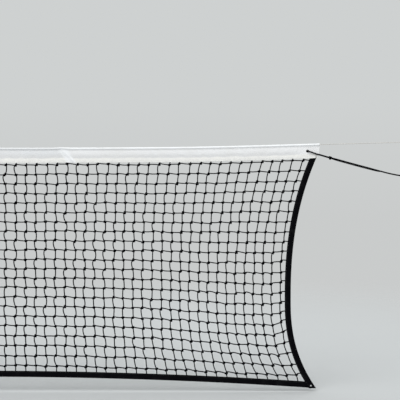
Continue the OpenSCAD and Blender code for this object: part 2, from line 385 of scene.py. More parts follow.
def headband_cloth():
    """White woven polyester, warmer at the hem and lightly soiled, with painted light: a brighter cord channel,
    painted shade over the middle of the span and in a band across the web where it is one layer thick, soft
    painted shadows in patches, and a painted highlight along the old fold.
    """
    f = Finish("headband_cloth", (0.86, 0.87, 0.88), 0.82, Sheen_Weight=0.12, Sheen_Roughness=0.5)
    run, lap, _ = f.field("cloth")
    off_top = f.math("ABSOLUTE", lap)
    stray = f.ranged(f.noise(26, 3), 0.3, 0.7, -0.0025, 0.0025)
    uneven_off = f.math("ADD", off_top, stray)
    web = f.ranged(off_top, 0.010, 0.014)
    # Painted shade: a greyer band across the web above the hem, where the cloth is one layer thick, for the shade
    # where it curves away from the light and the dark behind it showing through; fainter towards the band's ends
    web_band_shade = f.ranged(uneven_off, 0.031, 0.045)
    hem = f.ranged(uneven_off, 0.048, 0.053)
    off_middle = f.math("ABSOLUTE", run)
    # Painted shade: the middle of the span, inside the old fold on either side, where the cloth hangs facing a
    # little downwards, is given a greyer colour
    middle_shade = f.ranged(off_middle, 0.42, 0.34)
    fold = f.math("MULTIPLY", painted_fold_highlight(f, run, off_top), web)
    mottle = f.ranged(f.noise(34, 3), 0.38, 0.62)
    soil = f.ranged(f.noise(9, 5), 0.45, 0.75)
    scuff = f.ranged(f.noise(60, 4), 0.60, 0.80)
    # Painted highlight: the cord channel above the web is given a brighter colour than the web, for the light its
    # round top catches from above
    colour = f.blended(web, (0.93, 0.94, 0.96), (0.88, 0.88, 0.89))
    colour = f.blended(f.math("MULTIPLY", middle_shade, 0.8), colour, (0.77, 0.78, 0.80))
    web_band_shade = f.math("MULTIPLY", web_band_shade, f.ranged(off_middle, 1.44, 1.36))
    colour = f.blended(web_band_shade, colour, (0.74, 0.74, 0.75))
    colour = f.blended(hem, colour, (0.88, 0.87, 0.84))
    # Painted shade: soft greyer patches over the web, standing in for the soft shadows of the cloth's slight
    # undulations
    mottle = f.math("MULTIPLY", f.math("MULTIPLY", mottle, web), 0.25)
    colour = f.blended(mottle, colour, (0.81, 0.80, 0.80))
    # Painted highlight: the old fold's face is given a brighter colour, for the light it catches
    colour = f.blended(f.math("MULTIPLY", fold, 0.85), colour, (0.92, 0.93, 0.95))
    colour = f.blended(f.math("MULTIPLY", soil, 0.3), colour, (0.76, 0.755, 0.74))
    f.set("Base Color", f.blended(f.math("MULTIPLY", scuff, 0.25), colour, (0.66, 0.66, 0.65)))
    threads = f.math("MULTIPLY", f.wave(run, 1.3 * MM), f.wave(lap, 1.3 * MM))
    f.set("Roughness", f.ranged(f.noise(220, 3), 0.3, 0.7, 0.74, 0.90))
    f.bump(f.math("ADD", threads, f.noise(700, 3)), 0.10 * MM, 0.7)
    return f.material


def twine():
    """Black polyethylene twine, three strands laid up, with paler crowns: partly fuzz and dust, partly painted
    sheen in place of the gloss the shader leaves out.
    """
    f = Finish("twine", (0.004, 0.004, 0.005), 0.75, Specular_IOR_Level=0.0)
    c, s, along = f.field("lay")
    turn = f.math("MULTIPLY", f.math("ARCTAN2", s, c), 3.0)
    strand = f.math("SINE", f.math("ADD", turn, f.math("MULTIPLY", along, 2 * math.pi / (5 * MM))))
    fuzz = f.ranged(f.noise(900, 3), 0.45, 0.75)
    # Partly painted light: the strands' crowns, mixed with fuzz, are paler than the hollows between them, painted
    # sheen on the crowns and painted shade in the hollows
    crown = f.math("MULTIPLY", f.ranged(strand, -0.2, 1.0), fuzz)
    f.set("Base Color", f.blended(crown, (0.003, 0.003, 0.004), (0.016, 0.016, 0.017)))
    f.set("Roughness", f.ranged(f.noise(300, 3), 0.3, 0.7, 0.65, 0.85))
    f.bump(strand, 0.35 * MM, 0.8)
    return f.material


def knot_twine():
    """The same twine drawn tight in its knots, where the strands don't show but the fibres do."""
    f = Finish("knot_twine", (0.004, 0.004, 0.005), 0.75, Specular_IOR_Level=0.0)
    c, s, along = f.field("lay")
    turn = f.math("MULTIPLY", f.math("ARCTAN2", s, c), 3.0)
    strand = f.math("SINE", f.math("ADD", turn, f.math("MULTIPLY", along, 2 * math.pi / (6 * MM))))
    fuzz = f.ranged(f.noise(1100, 3), 0.45, 0.75)
    f.set("Base Color", f.blended(fuzz, (0.003, 0.003, 0.004), (0.010, 0.010, 0.011)))
    f.set("Roughness", f.ranged(f.noise(300, 3), 0.3, 0.7, 0.65, 0.85))
    f.bump(strand, 0.3 * MM, 0.6)
    return f.material


def tape_cloth():
    """Black tape in a herringbone weave, greyer along its fold and edges."""
    f = Finish("tape_cloth", (0.005, 0.005, 0.006), 0.85, Specular_IOR_Level=0.02)
    run, lap, _ = f.field("cloth")
    zigzag = f.math("PINGPONG", lap, 4 * MM)
    rib = f.wave(f.math("ADD", run, zigzag), 1.6 * MM)
    worn = f.math("MULTIPLY", f.ranged(f.math("ABSOLUTE", lap), 0.003, 0.0), f.noise(90, 4))
    dust = f.ranged(f.noise(25, 5), 0.5, 0.8)
    colour = f.blended(dust, (0.003, 0.003, 0.004), (0.008, 0.008, 0.009))
    f.set("Base Color", f.blended(worn, colour, (0.028, 0.028, 0.029)))
    f.set("Roughness", f.ranged(f.noise(200, 3), 0.3, 0.7, 0.70, 0.90))
    f.bump(f.math("ADD", rib, f.noise(900, 2)), 0.18 * MM, 0.8)
    return f.material


def braided(name, dark, pale, strands, pitch, depth, roughness, **sockets):
    """Braided cord: strands cross one another both ways round."""
    f = Finish(name, dark, roughness, **sockets)
    c, s, along = f.field("lay")
    turn = f.math("MULTIPLY", f.math("ARCTAN2", s, c), float(strands))
    climb = f.math("MULTIPLY", along, 2 * math.pi / pitch)
    left = f.math("SINE", f.math("ADD", turn, climb))
    right = f.math("SINE", f.math("SUBTRACT", turn, climb))
    strand = f.math("MAXIMUM", left, right)
    fuzz = f.ranged(f.noise(800, 3), 0.35, 0.75)
    # Partly painted light: the strands' crowns, mixed with fuzz, are paler than the hollows between them, painted
    # sheen on the crowns and painted shade in the hollows
    crown = f.math("MULTIPLY", f.ranged(strand, 0.1, 1.0), fuzz)
    f.set("Base Color", f.blended(crown, dark, pale))
    f.set("Roughness", f.ranged(f.noise(250, 3), 0.3, 0.7, roughness - 0.1, roughness + 0.12))
    f.bump(strand, depth, 0.8)
    return f.material


def thread(name, dark, pale):
    """Twisted sewing thread."""
    f = Finish(name, pale, 0.6, Specular_IOR_Level=0.3)
    c, s, along = f.field("lay")
    turn = f.math("MULTIPLY", f.math("ARCTAN2", s, c), 2.0)
    ply = f.math("SINE", f.math("ADD", turn, f.math("MULTIPLY", along, 2 * math.pi / (1.2 * MM))))
    # Painted shade: the hollows between the plies take the darker colour and their crowns the paler one
    f.set("Base Color", f.blended(f.ranged(ply, -1.0, 1.0), dark, pale))
    f.set("Roughness", f.ranged(f.noise(500, 2), 0.3, 0.7, 0.5, 0.7))
    f.bump(ply, 0.08 * MM, 0.7)
    return f.material


def plated(name, clean, dull, roughness, metallic=1.0):
    """Metal with a mottled plating, fine scratches and duller patches."""
    f = Finish(name, clean, roughness, Metallic=metallic)
    mottle = f.ranged(f.noise(180, 5), 0.35, 0.7)
    scratch = f.ranged(f.noise(1500, 2), 0.55, 0.7)
    f.set("Base Color", f.blended(mottle, clean, dull))
    rough = f.ranged(f.noise(350, 4), 0.3, 0.7, roughness - 0.1, roughness + 0.15)
    f.set("Roughness", f.math("ADD", rough, f.math("MULTIPLY", scratch, 0.12)))
    f.bump(f.math("ADD", f.noise(600, 3), scratch), 0.04 * MM, 0.5)
    return f.material


# ---------------------------------------------------------------- camera, light and floor


def place_camera():
    data = bpy.data.cameras.new("camera")
    data.lens = 85
    data.sensor_width = 36
    eye = bpy.data.objects.new("camera", data)
    back = VIEW_WIDTH * data.lens / data.sensor_width
    eye.location = (VIEW_CENTRE[0], -back, VIEW_CENTRE[1])
    eye.rotation_euler = (math.pi / 2, 0, 0)
    bpy.context.scene.collection.objects.link(eye)
    bpy.context.scene.camera = eye


def soft_sun(name, power, azimuth, elevation, spread):
    """Broad even light from that side: azimuth 0 is the viewer's, elevation is above level."""
    data = bpy.data.lights.new(name, "SUN")
    data.energy = power
    data.angle = math.radians(spread)
    light = bpy.data.objects.new(name, data)
    light.rotation_euler = (math.radians(90 - elevation), 0, math.radians(azimuth))
    bpy.context.scene.collection.objects.link(light)


def light_studio():
    scene = bpy.context.scene
    scene.view_settings.view_transform = "Standard"
    world = bpy.data.worlds.new("studio")
    world.use_nodes = True
    scene.world = world
    tree = world.node_tree
    facing = tree.nodes.new("ShaderNodeTexCoord")
    parts = tree.nodes.new("ShaderNodeSeparateXYZ")
    height = tree.nodes.new("ShaderNodeMapRange")
    height.inputs["From Min"].default_value = -0.02
    height.inputs["From Max"].default_value = 0.10
    wall = tree.nodes.new("ShaderNodeMix")
    wall.data_type = "RGBA"
    wall.inputs[6].default_value = (0.586, 0.600, 0.598, 1)
    wall.inputs[7].default_value = (0.618, 0.637, 0.636, 1)
    tree.links.new(facing.outputs["Generated"], parts.inputs[0])
    tree.links.new(parts.outputs["Z"], height.inputs["Value"])
    tree.links.new(height.outputs[0], wall.inputs[0])
    tree.links.new(wall.outputs[2], tree.nodes["Background"].inputs["Color"])
    soft_sun("key", 1.8, -25, 50, 50)
    soft_sun("back", 0.55, 160, 40, 60)


def lay_floor():
    """A pale round floor that fades into the background, so that no edge of it shows."""
    sides = 96
    turn = np.linspace(0, 2 * np.pi, sides, endpoint=False)
    rim = xyz(7 * np.cos(turn), 7 * np.sin(turn), FLOOR_Z)
    f = Finish("floor_paint", (0.525, 0.54, 0.545), 0.9, Specular_IOR_Level=0.0)
    f.set("Base Color", f.blended(f.noise(3, 3), (0.52, 0.535, 0.54), (0.53, 0.545, 0.55)))
    away = f.tree.nodes.new("ShaderNodeVectorMath")
    away.operation = "LENGTH"
    f.tree.links.new(f.place(), away.inputs[0])
    clear = f.tree.nodes.new("ShaderNodeBsdfTransparent")
    mix = f.tree.nodes.new("ShaderNodeMixShader")
    f.tree.links.new(f.ranged(away.outputs["Value"], 2.2, 6.5), mix.inputs[0])
    f.tree.links.new(f.shader.outputs[0], mix.inputs[1])
    f.tree.links.new(clear.outputs[0], mix.inputs[2])
    f.tree.links.new(mix.outputs[0], f.tree.nodes["Material Output"].inputs["Surface"])
    mesh = bpy.data.meshes.new("floor")
    mesh.from_pydata(rim.tolist(), [], [list(range(sides))])
    mesh.materials.append(f.material)
    floor = bpy.data.objects.new("floor", mesh)
    bpy.context.scene.collection.objects.link(floor)


# ---------------------------------------------------------------- cords

SIDES = {"right": 1, "left": -1}
STRAND_GAP = 1.6 * MM
FERRULE_OUT = 48 * MM


def cord_tube(name, path, radius, sides, finish, slot):
    points, faces, lay = tubes([path], radius, sides)
    return build(name, points, faces, finish, slot, lay=lay)


def headline_eye():
    """From the band's right end to the thimble, round it and back to the ferrule."""
    turn = np.radians(np.linspace(-109, 109, 37))
    sag = np.linspace(BAND_END - 6 * MM, EYE_X - FERRULE_OUT, 30)
    rise = (sag - BAND_END) / (EYE_X - FERRULE_OUT - BAND_END)
    start = float(headline_z(BAND_END))
    free = xyz(sag, 0, start + (-STRAND_GAP - start) * rise)
    loop = xyz(EYE_X + 10 * MM * np.cos(turn), 0, 10 * MM * np.sin(turn))
    leg_in = xyz(EYE_X - np.linspace(44, 28, 5) * MM, 0, -STRAND_GAP)
    leg_out = xyz(EYE_X - np.linspace(28, 48, 6) * MM, 0, STRAND_GAP)
    return np.concatenate([free, leg_in, loop, leg_out])


def ferrule(side):
    """A sleeve pressed over both strands, with three crimps."""
    from_x, long, wall_r, hole_r = EYE_X - FERRULE_OUT, 22 * MM, 3.15 * MM, 1.62 * MM
    sides = 40
    turn = np.linspace(0, 2 * np.pi, sides, endpoint=False)

    def ring(x, r, pinch=0.0):
        up = np.sin(turn) * r + np.sign(np.sin(turn)) * STRAND_GAP
        return xyz(x, -np.cos(turn) * r * (1 - pinch), up)

    t = np.linspace(0, 1, 31)
    crimp = 0.16 * np.abs(np.sin(3 * np.pi * t)) ** 1.5
    edge = 0.12 * (np.exp(-t / 0.03) + np.exp(-(1 - t) / 0.03))
    rings = [ring(from_x + long * a, wall_r * (1 - e), c) for a, c, e in zip(t, crimp, edge)]
    rings += [ring(from_x + long * a, hole_r) for a in (1, 0.5, 0)]
    points = np.concatenate(rings)
    faces = grid_faces(len(rings), sides, wrap_rows=True)
    return on_side(side, points, faces)


def make_headline(finish, crimp_metal, zinc):
    x = np.linspace(-BAND_END + 4 * MM, BAND_END - 4 * MM, 301)
    inner = xyz(x, 0, hang(x))
    carried = cord_tube("headline_in_band", inner, HEADLINE_D / 2, 12, finish, "headline")
    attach(carried, "headline")
    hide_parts("headline")
    for word, side in SIDES.items():
        sleeve = build(f"{word}_crimped_ferrule", *ferrule(side), crimp_metal, "crimp_metal")
        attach(sleeve, "headline")
        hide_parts(f"{word}_ferrule")
        thimble = frame["nodes"][f"{word}_thimble"]
        for place in thimble.material_slots:
            place.material = zinc
        path = headline_eye() * [side, 1, 1]
        eye = cord_tube(f"{word}_headline_end", path, HEADLINE_D / 2, 12, finish, "headline")
        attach(eye, "headline")
        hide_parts("headline")


# The tie's route in millimetres, [along, across, up] from its eyelet: the tail and front leg up to
# the hole, then the back leg, the standing part and the end loop
TIE_FRONT = [
    [330, -4.4, -4.8], [308, -3.2, -5.8], [280, -1.2, -6.3], [250, 0, -6.5], [215, 0, -6.6],
    [180, 0, -6.4], [152, 0, -6.1], [131, -0.6, -5.8], [117, -1.6, -5], [103, -2.5, -4.2],
    [87, -3.7, -3.6], [64, -5.2, -3.1], [42, -6.5, -2.4], [24, -7.4, -1.3], [14, -7.6, -0.6],
    [7, -7.2, -0.2], [2.2, -5.6, 0], [0, -3.3, 0], [0, 0, 0]]
TIE_BACK = [
    [0, 0, 0], [0, 3.3, 0], [2.2, 5.6, 0], [7, 7.2, -0.1], [14, 7.6, -0.2], [24, 7.4, -0.3],
    [42, 6.5, -0.5], [64, 5.2, -1], [87, 3.7, -1.6], [103, 2.5, -1.6], [117, 1.6, -1.1],
    [131, 0.6, -0.9], [152, 0, -1.1], [180, 0, -1.4], [215, 0, -1.5], [250, 0, -1.4],
    [285, 0, -1.4], [320, 0, -2.1], [355, 0, -2.3], [390, 0, -1], [412, 0, 0.8], [426, 0, 2.4],
    [438, 0, 3], [449, 0, 7], [459, 0, 11], [470, 0, 12], [479, 0, 8], [483, 0, 0],
    [479, 0, -8], [470, 0, -12], [459, 0, -11], [449, 0, -7], [438, 0, -3], [426, 0, -2.5]]


def along_tie(points, side):
    """Points in the tie's own millimetres, carried to its place in the row frame."""
    along, across, up = (np.asarray(points, float) * MM).T
    x = UPPER_EYELET[0] + along * math.cos(TIE_SLOPE) + up * math.sin(TIE_SLOPE)
    z = UPPER_EYELET[2] - along * math.sin(TIE_SLOPE) + up * math.cos(TIE_SLOPE)
    return xyz(x * side, across, z)


def knot_path(rings, size):
    """A closed knotted loop within a box of that half size."""
    t = np.linspace(0, 2 * np.pi, rings, endpoint=False)
    x = (np.sin(t) + 2 * np.sin(2 * t)) / 3
    z = (np.cos(t) - 2 * np.cos(2 * t)) / 3
    return xyz(x, -np.sin(3 * t), z) * size


def knot_tube(rings, sides, size, radius):
    """Points of a round tube along a knotted loop, (ring, side, xyz), and its lay."""
    path = knot_path(rings, size)
    ahead = unit(np.roll(path, -1, axis=0) - np.roll(path, 1, axis=0))
    normals = unit(path - np.sum(path * ahead, axis=1, keepdims=True) * ahead)
    sideways = np.cross(normals, ahead)
    turn = np.linspace(0, 2 * np.pi, sides, endpoint=False)[:, None]
    out = np.cos(turn) * normals[:, None] + np.sin(turn) * sideways[:, None]
    run = np.arange(rings)[:, None] * (length_of(path) / (rings - 1))
    return path[:, None] + radius * out, xyz(np.cos(turn[:, 0]), np.sin(turn[:, 0]), run)


def tie_knot(name, at, size, radius, side, finish):
    """A knot in the tie: its middle, half size and cord radius are in the tie's own millimetres."""
    rings, sides = 64, 12
    tube, lay = knot_tube(rings, sides, np.asarray(size) * MM, radius * MM)
    local = tube.reshape(-1, 3) / MM + at
    points = along_tie(local, side)
    faces = grid_faces(rings, sides, wrap_rows=True)
    if side < 0:
        faces = faces[:, ::-1]
    return build(name, points, faces, finish, "tie_cord", lay=lay.reshape(-1, 3))


# The soft cord's radius by the distance from its hole, both in millimetres: squeezed in the hole,
# full where it runs alone, and thinner where its two runs are bound together
TIE_RADII = [[5, 2.7], [20, 3.1], [90, 3.1], [110, 2.5], [300, 2.5], [335, 3.1]]


def tie_radius(path):
    from_hole = np.linalg.norm(path - path[np.abs(path[:, 0]).argmin()], axis=1)
    return np.interp(from_hole, *np.transpose(TIE_RADII) * MM)


def make_ties(finish):
    for word, side in SIDES.items():
        body = f"{word}_tie"
        knot = tie_knot(f"{word}_tie_knot", [104, 0, -2.9], [6.8, 4.6, 6.0], 2.7, side, finish)
        loop_knot = tie_knot(f"{word}_loop_knot", [431, 0, 0.2], [7.0, 4.6, 4.4], 2.3, side, finish)
        back = smoothed(along_tie(TIE_BACK, side), 4)
        front = smoothed(along_tie(TIE_FRONT, side), 4)
        tip = np.clip(np.arange(len(front)) / 5 + 0.55, 0, 1)
        standing = cord_tube(f"{word}_tie_standing", back, tie_radius(back), 14, finish, "tie_cord")
        doubled = cord_tube(f"{word}_tie_tail", front, tip * tie_radius(front), 14, finish, "tie_cord")
        for piece in (standing, doubled, knot, loop_knot):
            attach(piece, body)
            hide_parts(body)


# ---------------------------------------------------------------- headband


def columns_x():
    """Where the netting's columns hang at the headband, a little open by mid-span."""
    x = PITCH * (np.arange(COLUMNS) - (COLUMNS - 1) / 2)
    return x + np.tanh(x / 0.05) * (12.5 * MM - 7.6 * MM * np.abs(x))


def uneven(x, period, phase):
    """Irregular waviness of about that period, from -1 to 1."""
    return (np.sin(2 * np.pi * x / period + phase) + np.sin(2 * np.pi * x / (period * 1.37) + 2.1 * phase)
            + np.sin(2 * np.pi * x / (period * 0.71) + 0.7 * phase)) / 3


def sway(x, down):
    """How far the web stands off its plane at x, at a distance down from the headline."""
    free = np.clip((down - seam_drop(x)) / (48 * MM), 0, 1)
    wave = free * (1.1 * MM * uneven(x, 0.33, 1.0) + 0.6 * MM * uneven(x, 0.12, 2.0))
    pucker = 0.30 * MM * uneven(x, 0.021, 0.5) * hump(down, 12 * MM, 7 * MM)
    drawn = 0.28 * MM * uneven(x, 0.030, 1.7) * hump(down, 53 * MM, 8 * MM)
    lean = x - FOLD_X - (down - 8 * MM) * 1.05
    crease = -2.2 * MM * hump(lean, 0, 6 * MM) * np.clip(down / (12 * MM), 0, 1)
    return (wave + pucker + drawn + crease) * (1 - held_flat(x))


def drawn_in(x, down):
    """x on the cloth at a distance down from the headline: its ends slant in towards the hem."""
    near_end = np.clip((np.abs(x) - SLANT_FROM) / (BAND_END - SLANT_FROM), 0, 1) ** 2
    return x - np.sign(x) * near_end * (3 * MM + 9 * MM * np.clip(down / BAND_DEPTH, 0, 1) ** 2)


def web_half(x, down):
    """Half the distance between the flaps' middles, opened round each twine and the tape's end."""
    low = hang(x) - band_low(x)
    open_up = np.clip((down - low + 16 * MM) / (16 * MM), 0, 1) ** 2
    near = np.abs(x[..., None] - columns_x() - 3 * MM).min(axis=-1)
    beyond, short = np.abs(x) - GRIP_FROM, GRIP_TO - np.abs(x)
    tape = np.clip(beyond / (4 * MM), 0, 1) * np.clip(short / (4 * MM), 0, 1)
    swell = 0.15 * MM + 1.3 * MM * hump(near, 0, 7 * MM)
    swell = swell + (2.0 * MM - swell) * tape
    hem = 0.22 * MM * (hump(down, low - 2.2 * MM, 2 * MM) - hump(down, low - 5.4 * MM, 1.2 * MM))
    slack = 0.9 * MM * hump(down, 21 * MM, 10 * MM) + 0.8 * MM * hump(down, 51 * MM, 7 * MM)
    crease = 0.25 * MM * hump(down, seam_drop(x), 1.5 * MM) * (1 - 0.6 * held_flat(x))
    return WEB_HALF - CLOTH / 2 + open_up * swell + hem + slack * (1 - held_flat(x)) - crease


def web_surface(x, down, face):
    """A point on the outside of the web: face is -1 on the front and 1 on the back."""
    half = web_half(x, down) + CLOTH / 2
    return xyz(drawn_in(x, down), face * half + sway(x, down), hang(x) - down)


def make_headband(finish):
    stations = 1001
    x = np.linspace(-BAND_END, BAND_END, stations)[:, None]
    low = hang(x) - band_low(x)
    share = np.array([0, 0.03, 0.07, 0.11, 0.16, 0.21, 0.26, 0.31, 0.36, 0.42, 0.50, 0.60, 0.70, 0.80,
                      0.89, 0.96, 1])
    down = low + (seam_drop(x) - low) * share
    half = web_half(x, down)
    front = xyz(drawn_in(x, down), sway(x, down) - half, hang(x) - down)
    back = xyz(drawn_in(x, down), sway(x, down) + half, hang(x) - down)[:, ::-1]
    turn = np.radians(np.linspace(246, -66, 19))
    r = (CHANNEL_R - CLOTH / 2) * (1 + 0.05 * uneven(x, 0.05, 0.3))
    top = xyz(drawn_in(x, 0 * x), r * np.cos(turn), hang(x) + r * np.sin(turn))
    middle = np.concatenate([front, top, back], axis=1)
    lap = np.linalg.norm(np.diff(middle[stations // 2], axis=0), axis=1).cumsum()
    lap = np.concatenate([[0], lap])
    width = float(lap[-1])
    points, faces, cloth = strip(middle, CLOTH, x, lap - width / 2)
    band = build("headband_cloth", points, faces, finish, "headband", cloth=cloth)
    pierce(band, [(side * UPPER_EYELET[0], 0, UPPER_EYELET[2]) for side in (-1, 1)])
    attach(band, "headband")
    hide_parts("headband")


def pierce(piece, places, radius=3.7 * MM):
    """Cuts a round hole along Y through a cloth at each place, and keeps the cloth's field."""
    before = KDTree(len(piece.data.vertices))
    for point in piece.data.vertices:
        before.insert(point.co, point.index)
    before.balance()
    cloth = np.empty(3 * len(piece.data.vertices), np.float32)
    piece.data.attributes["cloth"].data.foreach_get("vector", cloth)
    for place in places:
        bpy.ops.mesh.primitive_cylinder_add(vertices=32, radius=radius, depth=0.03, location=place,
                                            rotation=(math.pi / 2, 0, 0))
        cutter = bpy.context.object
        cut = piece.modifiers.new("hole", "BOOLEAN")
        cut.operation = "DIFFERENCE"
        cut.object = cutter
        cut.solver = "EXACT"
        bpy.context.view_layer.update()
        holed = piece.evaluated_get(bpy.context.evaluated_depsgraph_get())
        piece.modifiers.remove(cut)
        piece.data = bpy.data.meshes.new_from_object(holed)
        bpy.data.objects.remove(cutter)
    nearest = [before.find(point.co)[1] for point in piece.data.vertices]
    piece.data.attributes["cloth"].data.foreach_set("vector", cloth.reshape(-1, 3)[nearest].ravel())


def stitched(name, lines, finish, slot, body, node):
    """Separate stitches: each line is points on the cloth, (stitch, point, xyz), and its outward y."""
    dip = np.array([-0.45, 0.25, 0.45, 0.25, -0.45]) * THREAD_R * 2
    paths = np.concatenate([points + dip[:, None] * [0, face, 0] for points, face in lines])
    shape = np.array([0.75, 1, 1, 1, 0.75]) * THREAD_R
    points, faces, lay = tubes(paths, shape, 6)
    piece = build(name, points, faces, finish, slot, lay=lay)
    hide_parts(node)
    if body == "netting":
        bend_at_seam(piece)
    else:
        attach(piece, body)


def stitch_places(start, end, pitch=6.5 * MM, long=4.8 * MM):
    """Where the five points of each stitch lie along a seam."""
    first = np.arange(start, end - long, pitch)[:, None]
    return first + np.linspace(0, long, 5)


def make_band_stitching(finish):
    x = stitch_places(-BAND_END + 5 * MM, BAND_END - 5 * MM)
    for name, node, down in (
        ("channel_stitches", "channel_stitching", seam_drop(x) + 1.5 * MM),
        ("hem_stitches", "hem_stitching", hang(x) - band_low(x) - 5.4 * MM),
    ):
        lines = [(web_surface(x, down, face), face) for face in (-1, 1)]
        stitched(name, lines, finish, "white_thread", "headband", node)


# ---------------------------------------------------------------- netting and tapes


def bend_at_seam(piece):
    """Bakes the piece's placement into its points; the cloth sewn under the headband is left unbent."""
    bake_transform(piece)


def drawn_up(x0, t):
    """How far the rows rise where they meet the side tape, most of all where it turns outwards."""
    rise = 12 * MM * np.clip((t - 0.3) / 0.2, 0, 1) + 20 * MM * hump(t, 0.78, 0.09)
    return rise * hump(np.abs(x0), 1.46, 0.037)


def net_point(x0, t):
    """Where the netting hangs: x0 along the headband, and t from the top row (0) to the tape (1)."""
    high = band_low(x0) - FIRST_ROW_DROP
    low = bottom_z(x0) + TAPE_W
    t = np.clip(t, 0, 1)
    belly = np.sin(np.pi * t**2)
    beside = hump(np.abs(x0), 1.25, 0.3)
    drape = belly * (10 - 19 * beside) + 6 * np.sin(np.pi * t) * hump(np.abs(x0), 1.25, 0.2)
    z = high + (low - high) * t + drape * MM + drawn_up(x0, t)
    drawn = inset(TAPE_TOP - z) * np.abs(x0 / CORNER_X) ** 1.8
    y = 3.5 * MM * belly * uneven(x0 + 0.3 * t, 0.9, 0.4) * (1 - (x0 / CORNER_X) ** 4)
    return xyz(x0 - np.sign(x0) * drawn, y, z)


def leave(t):
    """A bend close behind a knot: nothing at it, 1 a tenth of the way on, then dying away."""
    return t / 0.1 * np.exp(1 - t / 0.1)


# Where the points of a run lie between two knots, as shares of the way
CELL = np.array([0, 0.06, 0.13, 0.22, 0.34, 0.5, 0.66, 0.80, 0.92])


def twine_runs(knots, first_bend, last_bend, bow, skew, bend_axis):
    """Paths through rows of knots, (twine, knot, xyz), bent aside between each two of them.

    The bow is deepest half-way where skew is 1, and earlier where it is less.
    """
    t = CELL[:, None]
    runs = knots[:, :-1, None] * (1 - t) + knots[:, 1:, None] * t
    aside = (first_bend[..., None] * leave(CELL) + last_bend[..., None] * leave(1 - CELL)
             + bow[..., None] * np.sin(np.pi * CELL ** np.asarray(skew)[..., None]))
    runs = runs + aside[..., None] * np.asarray(bend_axis, float)
    runs = runs.reshape(len(knots), -1, 3)
    return np.concatenate([runs, knots[:, -1:]], axis=1)


def slanting_ends(slash):
    """Whether the knot before and the knot after each run slants; a twine's own ends don't."""
    kind = np.pad(slash, [(0, 0), (1, 1)])
    return kind[:, :-1], kind[:, 1:]


def upright_paths(knots, slash, x0):
    """Up and down: each twine also runs up between the headband's flaps, and into the bottom tape.

    Its runs bow out on either side in turn, so that wide and narrow squares alternate.
    """
    stub = xyz(knots[:, 0, 0] + 6 * MM, sway(x0, 55 * MM), band_low(x0) + 9 * MM)
    foot_x = net_point(x0, np.ones(COLUMNS))[:, 0]
    foot = xyz(foot_x, 0, bottom_z(foot_x) + 7 * MM)
    column = np.concatenate([stub[:, None], knots, foot[:, None]], axis=1)
    above, below = slanting_ends(slash)
    vary = chance.uniform(0.25, 1.45, above.shape)
    loose = np.interp(np.abs(x0), [0.45, 1.0], [1, 0])[:, None]
    out_bend = np.where(above, -1.6, 0.3) * MM
    in_bend = np.where(below, 1.8, 0) * MM
    bow = np.where(above, -3.2 - 2.2 * loose, 3.9 * loose - 0.3) * MM * vary
    skew = np.where(above, 0.75, 1.0)
    out_bend[:, 0] = bow[:, 0] = 0
    in_bend[:, 0] *= 0.5
    in_bend[:, -1] = bow[:, -1] = 0
    return twine_runs(column, out_bend, in_bend, bow, skew, (1, 0, 0))


def row_paths(knots, slash, t):
    """Side to side: each twine ends inside the folds of the side tapes, and is slacker near them."""
    last_x = columns_x()[-1]
    lift = drawn_up(last_x + TAPE_W, t) - drawn_up(last_x, t)
    ends = []
    for side, beside in ((-1, knots[0]), (1, knots[-1])):
        z = beside[:, 2] + lift
        x, _ = side_point(TAPE_TOP - z, 8 * MM)
        ends.append(xyz(side * x, 0, z)[:, None])
    line = np.concatenate([ends[0], knots.transpose(1, 0, 2), ends[1]], axis=1)
    before, after = slanting_ends(slash.T)
    vary = chance.uniform(-0.2, 1.0, before.shape)
    off_middle = np.abs(np.linspace(-BAND_END, BAND_END, COLUMNS + 1))
    slacker = np.clip((off_middle - 0.7) / 0.3, 0, 1) * np.clip((t[:, None] - 0.3) / 0.3, 0, 1)
    out_bend = np.where(before, 2.6, 1.2) * MM
    in_bend = np.where(after, -1.2, -0.2) * MM
    out_bend[:, 0] = in_bend[:, -1] = 0
    return twine_runs(line, out_bend, in_bend, (1.8 + 3.7 * slacker) * MM * vary, 0.6, (0, 0, 1))


def make_netting(finish, knot_finish):
    x0 = columns_x()
    t = np.arange(ROWS) / (ROWS - 0.5)
    knots = net_point(x0[:, None], t)
    shake = np.clip(chance.normal(0, 1, knots.shape), -2, 2) * [1.5 * MM, 0.4 * MM, 1.5 * MM]
    knots = knots + shake
    slash = (np.arange(COLUMNS)[:, None] + np.arange(ROWS)) % 2 == 1
    uprights = upright_paths(knots, slash, x0)
    rows = row_paths(knots, slash, t)
    # The flaps press each upright's upper end flat
    pressed = TWINE_R * np.interp(np.arange(uprights.shape[1]) / len(CELL), [0, 0.6], [0.5, 1])
    pieces = []
    for name, paths, radius in (("netting_uprights", uprights, pressed), ("netting_rows", rows, TWINE_R)):
        points, faces, lay = tubes(paths, radius, 6)
        pieces.append(build(name, points, faces, finish, "netting", lay=lay))
    pieces += make_knots(knots, slash, knot_finish)
    for piece in pieces:
        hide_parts("netting")
        bend_at_seam(piece)


